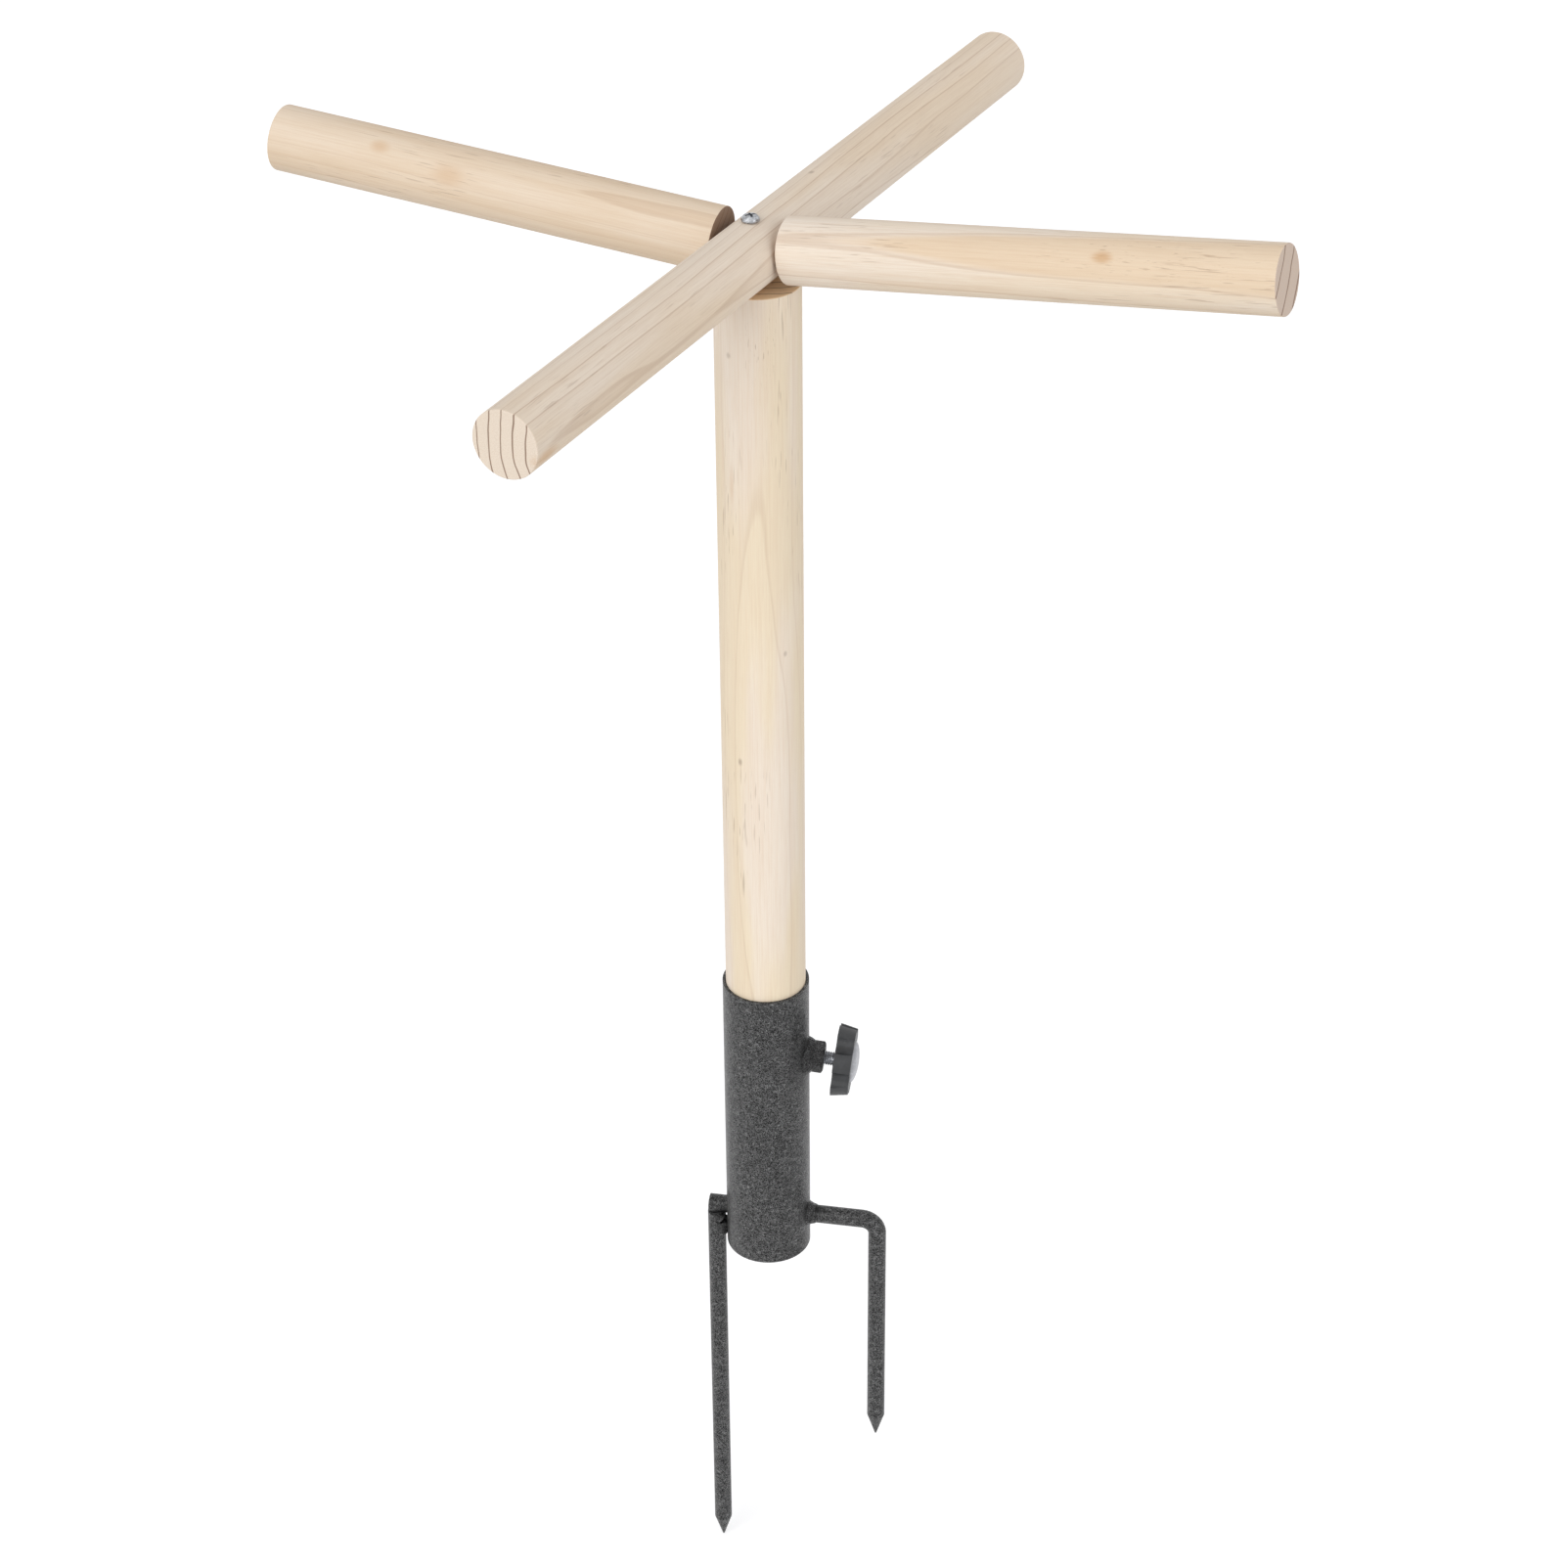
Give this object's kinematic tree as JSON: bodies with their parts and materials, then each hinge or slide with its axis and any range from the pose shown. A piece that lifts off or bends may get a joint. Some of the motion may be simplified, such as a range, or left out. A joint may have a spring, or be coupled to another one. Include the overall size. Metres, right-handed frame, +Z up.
{
  "type": "ground stake cross perch",
  "caption": "Ground-stake perch: a round wooden post topped by a cross of dowel arms, clamped by a star knob in a painted steel socket tube with pointed ground prongs.",
  "frame": {"origin": "centre of the socket tube's bottom end, on the tube's axis, at ground level once the prongs are pushed in", "axes": "+Z up along the tube and the post; +X across to the side of the clamp screw and the short prong; +Y away from the side on which the stub weld shows"},
  "size_m": [0.3941, 0.372, 0.7209],
  "materials": {
    "pine": "sanded, unvarnished",
    "hammertone": "dark grey hammertone paint",
    "zinc": "zinc plated",
    "black_plastic": "satin black",
    "silver_plastic": "pale silver"
  },
  "bodies": {
    "socket": {"socket_tube": "hammertone", "step_rod": "hammertone", "long_prong": "hammertone", "stub_weld": "hammertone", "step_weld": "hammertone", "nut_weld": "hammertone", "clamp_nut": "hammertone"},
    "post": {"post": "pine", "top_screw": "zinc"},
    "cross": {"through_bar": "pine", "left_arm": "pine", "right_arm": "pine", "left_dowel": "zinc", "right_dowel": "zinc"},
    "clamp_cap": {"knob_cap": "silver_plastic"},
    "clamp_screw": {"clamp_bolt": "zinc", "knob": "black_plastic"}
  },
  "joints": [
    {"name": "post_lift", "type": "slide", "parent": "socket", "child": "post", "axis": [0, 0, 1], "range_m": [0, 0.125]},
    {"name": "cross_turn", "type": "hinge", "parent": "post", "child": "cross", "pos_m": [-0.00237, -0.0044, 0.49135], "axis": [0, 0, 1], "continuous": true},
    {"name": "clamp_travel", "type": "slide", "parent": "socket", "child": "clamp_cap", "axis": [0.9839, -0.1558, -0.0872], "range_m": [0, 0.00605]},
    {"name": "clamp_turn", "type": "hinge", "parent": "clamp_cap", "child": "clamp_screw", "pos_m": [0.02952, -0.00468, 0.10418], "axis": [0.9839, -0.1558, -0.0872], "range_deg": [0, 2160]}
  ],
  "couplings": [
    {"joint": "clamp_travel", "follows": "clamp_turn", "m_per_rad": 0.00015915}
  ]
}
